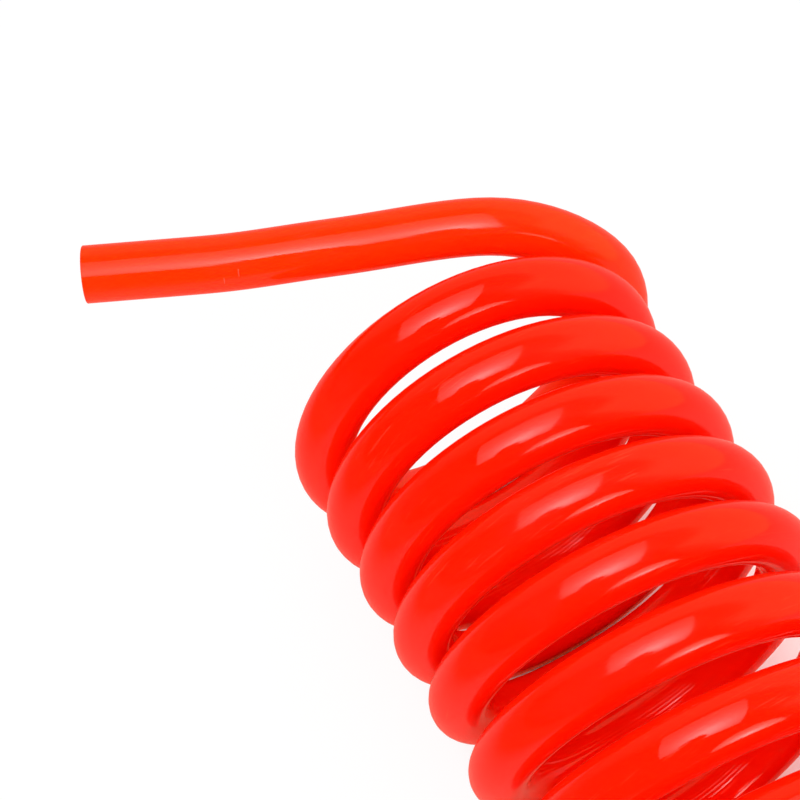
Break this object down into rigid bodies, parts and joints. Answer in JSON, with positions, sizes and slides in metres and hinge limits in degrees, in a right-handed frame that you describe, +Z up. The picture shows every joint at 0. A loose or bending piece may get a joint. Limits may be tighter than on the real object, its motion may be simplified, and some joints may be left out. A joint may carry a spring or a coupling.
{
  "type": "coiled air hose",
  "caption": "Recoil air hose of glossy polyurethane tube, wound in a helix whose turns open along its length, with a plain-cut free tail at each end for push-in fittings.",
  "frame": {"origin": "centre of the bounding box at the floor that the coil lies on", "axes": "+X along the coil's axis from the near end to the far end, where the turns stand open; +Z up"},
  "size_m": [0.3137, 0.1333, 0.0808],
  "materials": {
    "hose": "glossy, slightly translucent orange-red polyurethane"
  },
  "bodies": {
    "near_end": {"near_tail": "hose", "coil": "hose"},
    "far_end": {"far_tail": "hose"}
  },
  "joints": [
    {"name": "stretch", "type": "slide", "parent": "near_end", "child": "far_end", "axis": [1, 0, 0], "range_m": [0, 1.6], "stiffness_N_per_m": 25, "deforming": ["coil"]}
  ]
}
